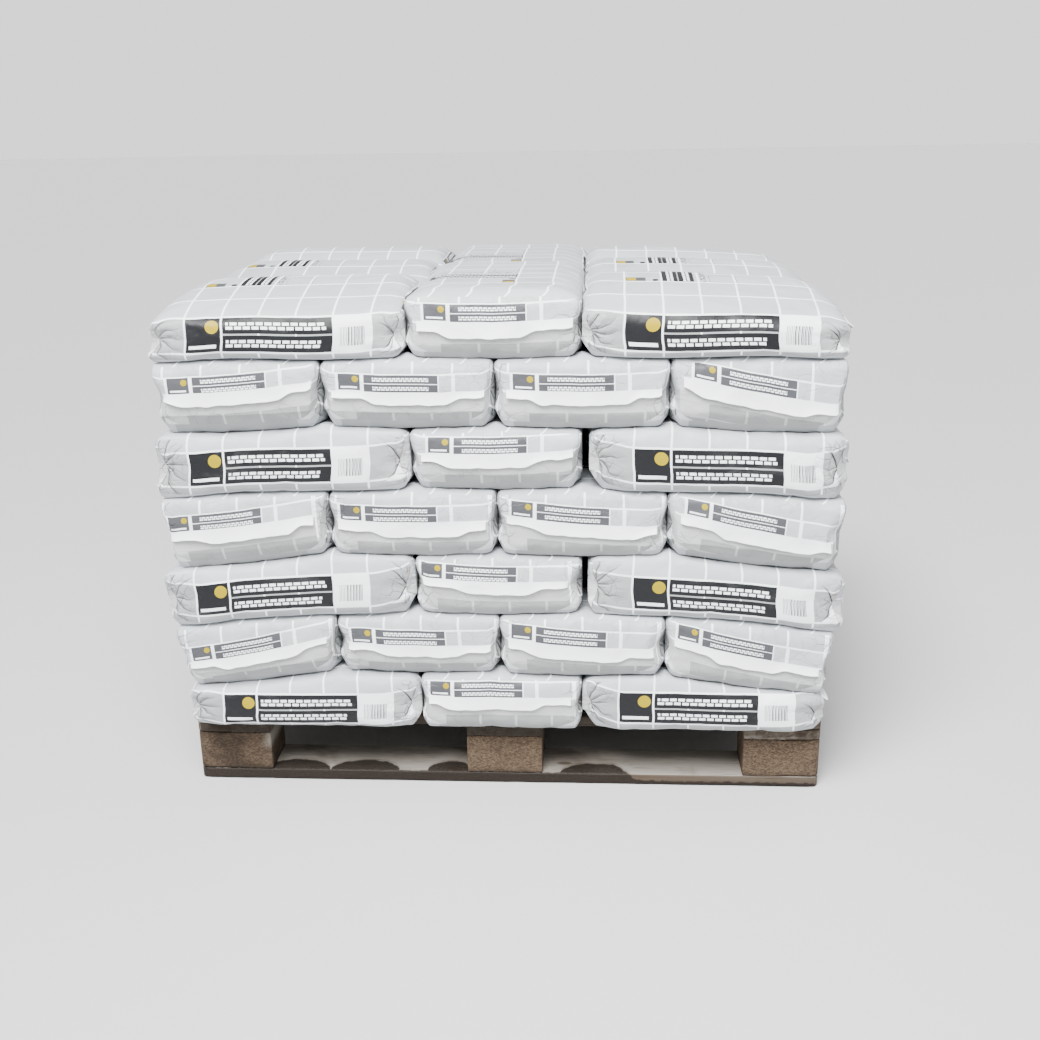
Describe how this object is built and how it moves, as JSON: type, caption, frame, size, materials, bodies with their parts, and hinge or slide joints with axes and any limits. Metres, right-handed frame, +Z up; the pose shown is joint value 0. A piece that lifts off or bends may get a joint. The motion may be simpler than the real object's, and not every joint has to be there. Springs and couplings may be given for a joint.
{
  "type": "pallet of sacks",
  "caption": "Flat wooden pallet loaded with interlocked layers of filled paper sacks, crowned on top and sagging at the ends.",
  "frame": {"origin": "middle of the underside of the centre bottom board, where the pallet stands", "axes": "+X along the pallet's length, +Y from the printed front row to the back, +Z up"},
  "size_m": [1.234, 0.9174, 0.9567],
  "materials": {
    "sack_paper": "satin",
    "sawn_wood": "matte",
    "pressed_wood": "matte"
  },
  "bodies": {
    "root": {"bottom_board_front": "sawn_wood", "bottom_board_centre": "sawn_wood", "bottom_board_back": "sawn_wood", "block_front_left": "pressed_wood", "block_front_middle": "pressed_wood", "block_front_right": "pressed_wood", "block_centre_left": "pressed_wood", "block_centre_middle": "pressed_wood", "block_centre_right": "pressed_wood", "block_back_left": "pressed_wood", "block_back_middle": "pressed_wood", "block_back_right": "pressed_wood", "cross_board_left": "sawn_wood", "cross_board_middle": "sawn_wood", "cross_board_right": "sawn_wood", "deck_board_1": "sawn_wood", "deck_board_2": "sawn_wood", "deck_board_3": "sawn_wood", "deck_board_4": "sawn_wood", "deck_board_5": "sawn_wood", "sack_1_front_left": "sack_paper", "sack_1_front_middle": "sack_paper", "sack_1_front_right": "sack_paper", "sacks_1_rear": "sack_paper", "sack_2_front_outer_left": "sack_paper", "sack_2_front_inner_left": "sack_paper", "sack_2_front_inner_right": "sack_paper", "sack_2_front_outer_right": "sack_paper", "sacks_2_rear": "sack_paper", "sack_3_front_left": "sack_paper", "sack_3_front_middle": "sack_paper", "sack_3_front_right": "sack_paper", "sacks_3_rear": "sack_paper", "sack_4_front_outer_left": "sack_paper", "sack_4_front_inner_left": "sack_paper", "sack_4_front_inner_right": "sack_paper", "sack_4_front_outer_right": "sack_paper", "sacks_4_rear": "sack_paper", "sack_5_front_left": "sack_paper", "sack_5_front_middle": "sack_paper", "sack_5_front_right": "sack_paper", "sacks_5_rear": "sack_paper", "sack_6_front_outer_left": "sack_paper", "sack_6_front_inner_left": "sack_paper", "sack_6_front_inner_right": "sack_paper", "sack_6_front_outer_right": "sack_paper", "sacks_6_rear": "sack_paper", "sack_7_front_left": "sack_paper", "sack_7_front_middle": "sack_paper", "sack_7_front_right": "sack_paper", "sack_7_mid_left": "sack_paper", "sack_7_mid_right": "sack_paper", "sack_7_back_left": "sack_paper", "sack_7_back_middle": "sack_paper", "sack_7_back_right": "sack_paper"}
  },
  "joints": []
}
